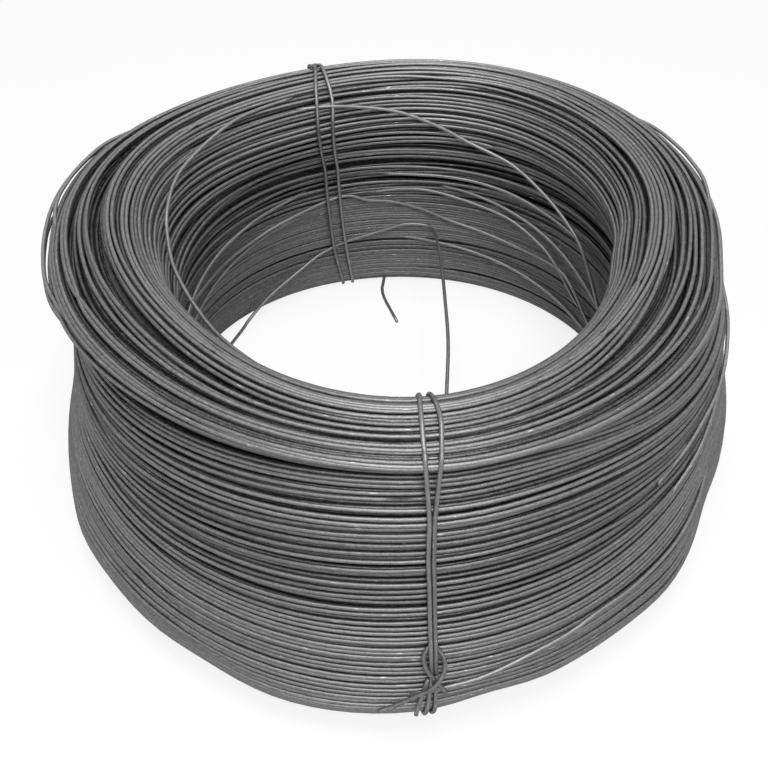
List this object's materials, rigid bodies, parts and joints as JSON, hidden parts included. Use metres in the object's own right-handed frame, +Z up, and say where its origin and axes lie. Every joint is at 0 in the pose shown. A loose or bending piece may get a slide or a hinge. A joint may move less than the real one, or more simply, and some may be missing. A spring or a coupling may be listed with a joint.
{
  "type": "coil of steel wire",
  "caption": "Thick loose ring of soft annealed steel wire, open bore, bound across its section with doubled wire ties.",
  "frame": {"origin": "on the floor under the middle of the coil", "axes": "+Z up along the coil's axis, the front tie's knot faces -Y"},
  "size_m": [0.2172, 0.234, 0.0941],
  "materials": {
    "annealed_wire": "dull dark grey, drawn and annealed, no coating",
    "tie_wire": "dull dark grey, drawn and annealed, no coating"
  },
  "bodies": {
    "root": {"wire_coil": "annealed_wire", "front_tie": "tie_wire", "back_tie": "tie_wire"}
  },
  "joints": []
}
